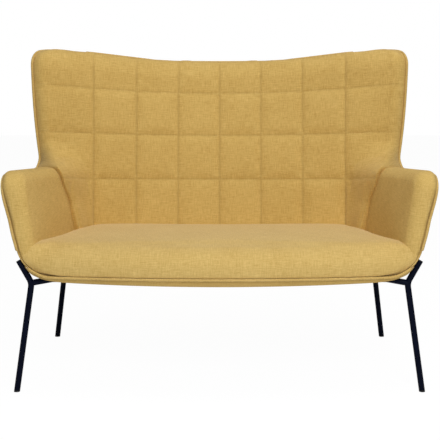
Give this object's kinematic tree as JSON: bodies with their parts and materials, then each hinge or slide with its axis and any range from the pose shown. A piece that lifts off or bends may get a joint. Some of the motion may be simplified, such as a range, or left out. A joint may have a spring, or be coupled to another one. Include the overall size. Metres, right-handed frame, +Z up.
{
  "type": "two-seater sofa",
  "caption": "Small upholstered sofa with low arms, a winged quilted back, a bench seat, piped edges and splayed black tube legs.",
  "frame": {"origin": "on the floor under the middle of the overall box", "axes": "+X to the sofa's left as a sitter sees it, which is the viewer's right from the front, +Y from the front to the back, +Z up"},
  "size_m": [1.2822, 0.7854, 1.0204],
  "materials": {
    "ochre_weave": "matt, woven and slightly heathered",
    "padding": "matt open-cell padding",
    "plywood": "sanded birch plywood",
    "webbing": "woven elastic strap",
    "zinc_steel": "zinc plated",
    "beech": "planed hardwood",
    "dust_cloth": "thin matt black cloth",
    "black_steel": "satin black powder coat",
    "black_plastic": "moulded, matt",
    "ochre_piping": "matt, woven over a cord"
  },
  "bodies": {
    "root": {"arm_cover_left": "ochre_weave", "arm_cover_right": "ochre_weave", "arm_foam_left": "padding", "arm_foam_right": "padding", "arm_frame_left": "plywood", "arm_frame_right": "plywood", "back_foam": "padding", "back_lower_rail": "plywood", "back_straps": "webbing", "back_top_rail": "plywood", "back_upright_left": "plywood", "back_upright_right": "plywood", "base_panel": "plywood", "bolt_washers": "zinc_steel", "corner_blocks": "beech", "dust_cover": "dust_cloth", "front_border": "ochre_weave", "front_crossbar": "black_steel", "front_end_plug_left": "black_plastic", "front_end_plug_right": "black_plastic", "front_foot_glide_left": "black_plastic", "front_foot_glide_right": "black_plastic", "front_leg_left": "black_steel", "front_leg_right": "black_steel", "front_mounting_plate_left": "black_steel", "front_mounting_plate_right": "black_steel", "front_piping": "ochre_piping", "leg_bolts": "zinc_steel", "outside_arm_cover_left": "ochre_weave", "outside_arm_cover_right": "ochre_weave", "outside_back_cover": "ochre_weave", "quilted_back_cover": "ochre_weave", "rear_crossbar": "black_steel", "rear_end_plug_left": "black_plastic", "rear_end_plug_right": "black_plastic", "rear_foot_glide_left": "black_plastic", "rear_foot_glide_right": "black_plastic", "rear_leg_left": "black_steel", "rear_leg_right": "black_steel", "rear_mounting_plate_left": "black_steel", "rear_mounting_plate_right": "black_steel", "rim_piping": "ochre_piping", "seat_centre_rail": "beech", "seat_cover": "ochre_weave", "seat_foam": "padding", "seat_front_rail": "beech", "seat_rear_rail": "beech", "seat_side_rail_left": "beech", "seat_side_rail_right": "beech", "tee_nuts": "zinc_steel", "wing_frame_left": "plywood", "wing_frame_right": "plywood"}
  },
  "joints": []
}
